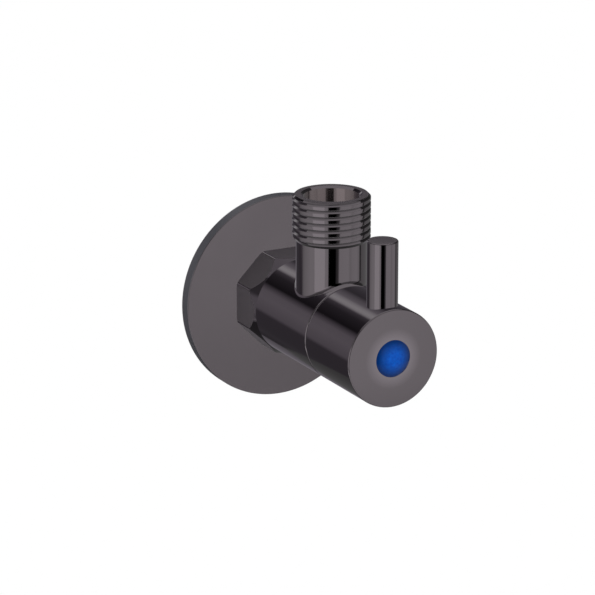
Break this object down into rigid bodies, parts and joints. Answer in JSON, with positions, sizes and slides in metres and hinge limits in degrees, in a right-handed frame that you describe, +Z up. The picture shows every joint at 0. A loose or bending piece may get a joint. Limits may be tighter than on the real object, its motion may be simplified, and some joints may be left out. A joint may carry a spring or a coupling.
{
  "type": "cistern stop valve",
  "caption": "Quarter-turn angle stop valve for a cistern, with wall flange, upright threaded outlet, ceramic cartridge, round handle with lever pin and blue button.",
  "frame": {"origin": "centre of the inlet tail at the finished wall plane, where the cover flange's back lies", "axes": "+Y along the tail into the wall, -Y out along the barrel to the handle, +Z up along the outlet, +X to the right seen from the front"},
  "size_m": [0.057, 0.0895, 0.0648],
  "materials": {
    "flange_metal": "satin gunmetal plating",
    "body_metal": "polished gunmetal plating",
    "handle_metal": "polished gunmetal plating",
    "lever_metal": "polished gunmetal plating",
    "blue_plastic": "glossy moulded plastic",
    "brass": "turned brass",
    "black_rubber": "matt rubber",
    "steel": "stainless steel",
    "white_ceramic": "lapped alumina ceramic"
  },
  "bodies": {
    "body": {"valve_body": "body_metal", "housing_gasket": "black_rubber", "cartridge_housing": "brass", "seat_seal": "black_rubber", "seal_ring": "steel", "fixed_disc": "white_ceramic", "thrust_washer": "steel", "dust_ring": "black_rubber"},
    "handle": {"handle_shell": "handle_metal", "lever_pin": "lever_metal", "indicator_button": "blue_plastic", "handle_screw": "steel", "screw_washer": "steel", "spline_insert": "brass", "spindle": "brass", "spindle_clip": "steel", "spindle_seal_rear": "black_rubber", "spindle_seal_front": "black_rubber", "moving_disc": "white_ceramic"},
    "flange": {"wall_flange": "flange_metal"}
  },
  "joints": [
    {"name": "handle_turn", "type": "hinge", "parent": "body", "child": "handle", "pos_m": [0, -0.0548, 0], "axis": [0, 1, 0], "range_deg": [0, 90]},
    {"name": "flange_slide", "type": "slide", "parent": "body", "child": "flange", "axis": [0, 1, 0], "range_m": [0, 0.016]}
  ]
}
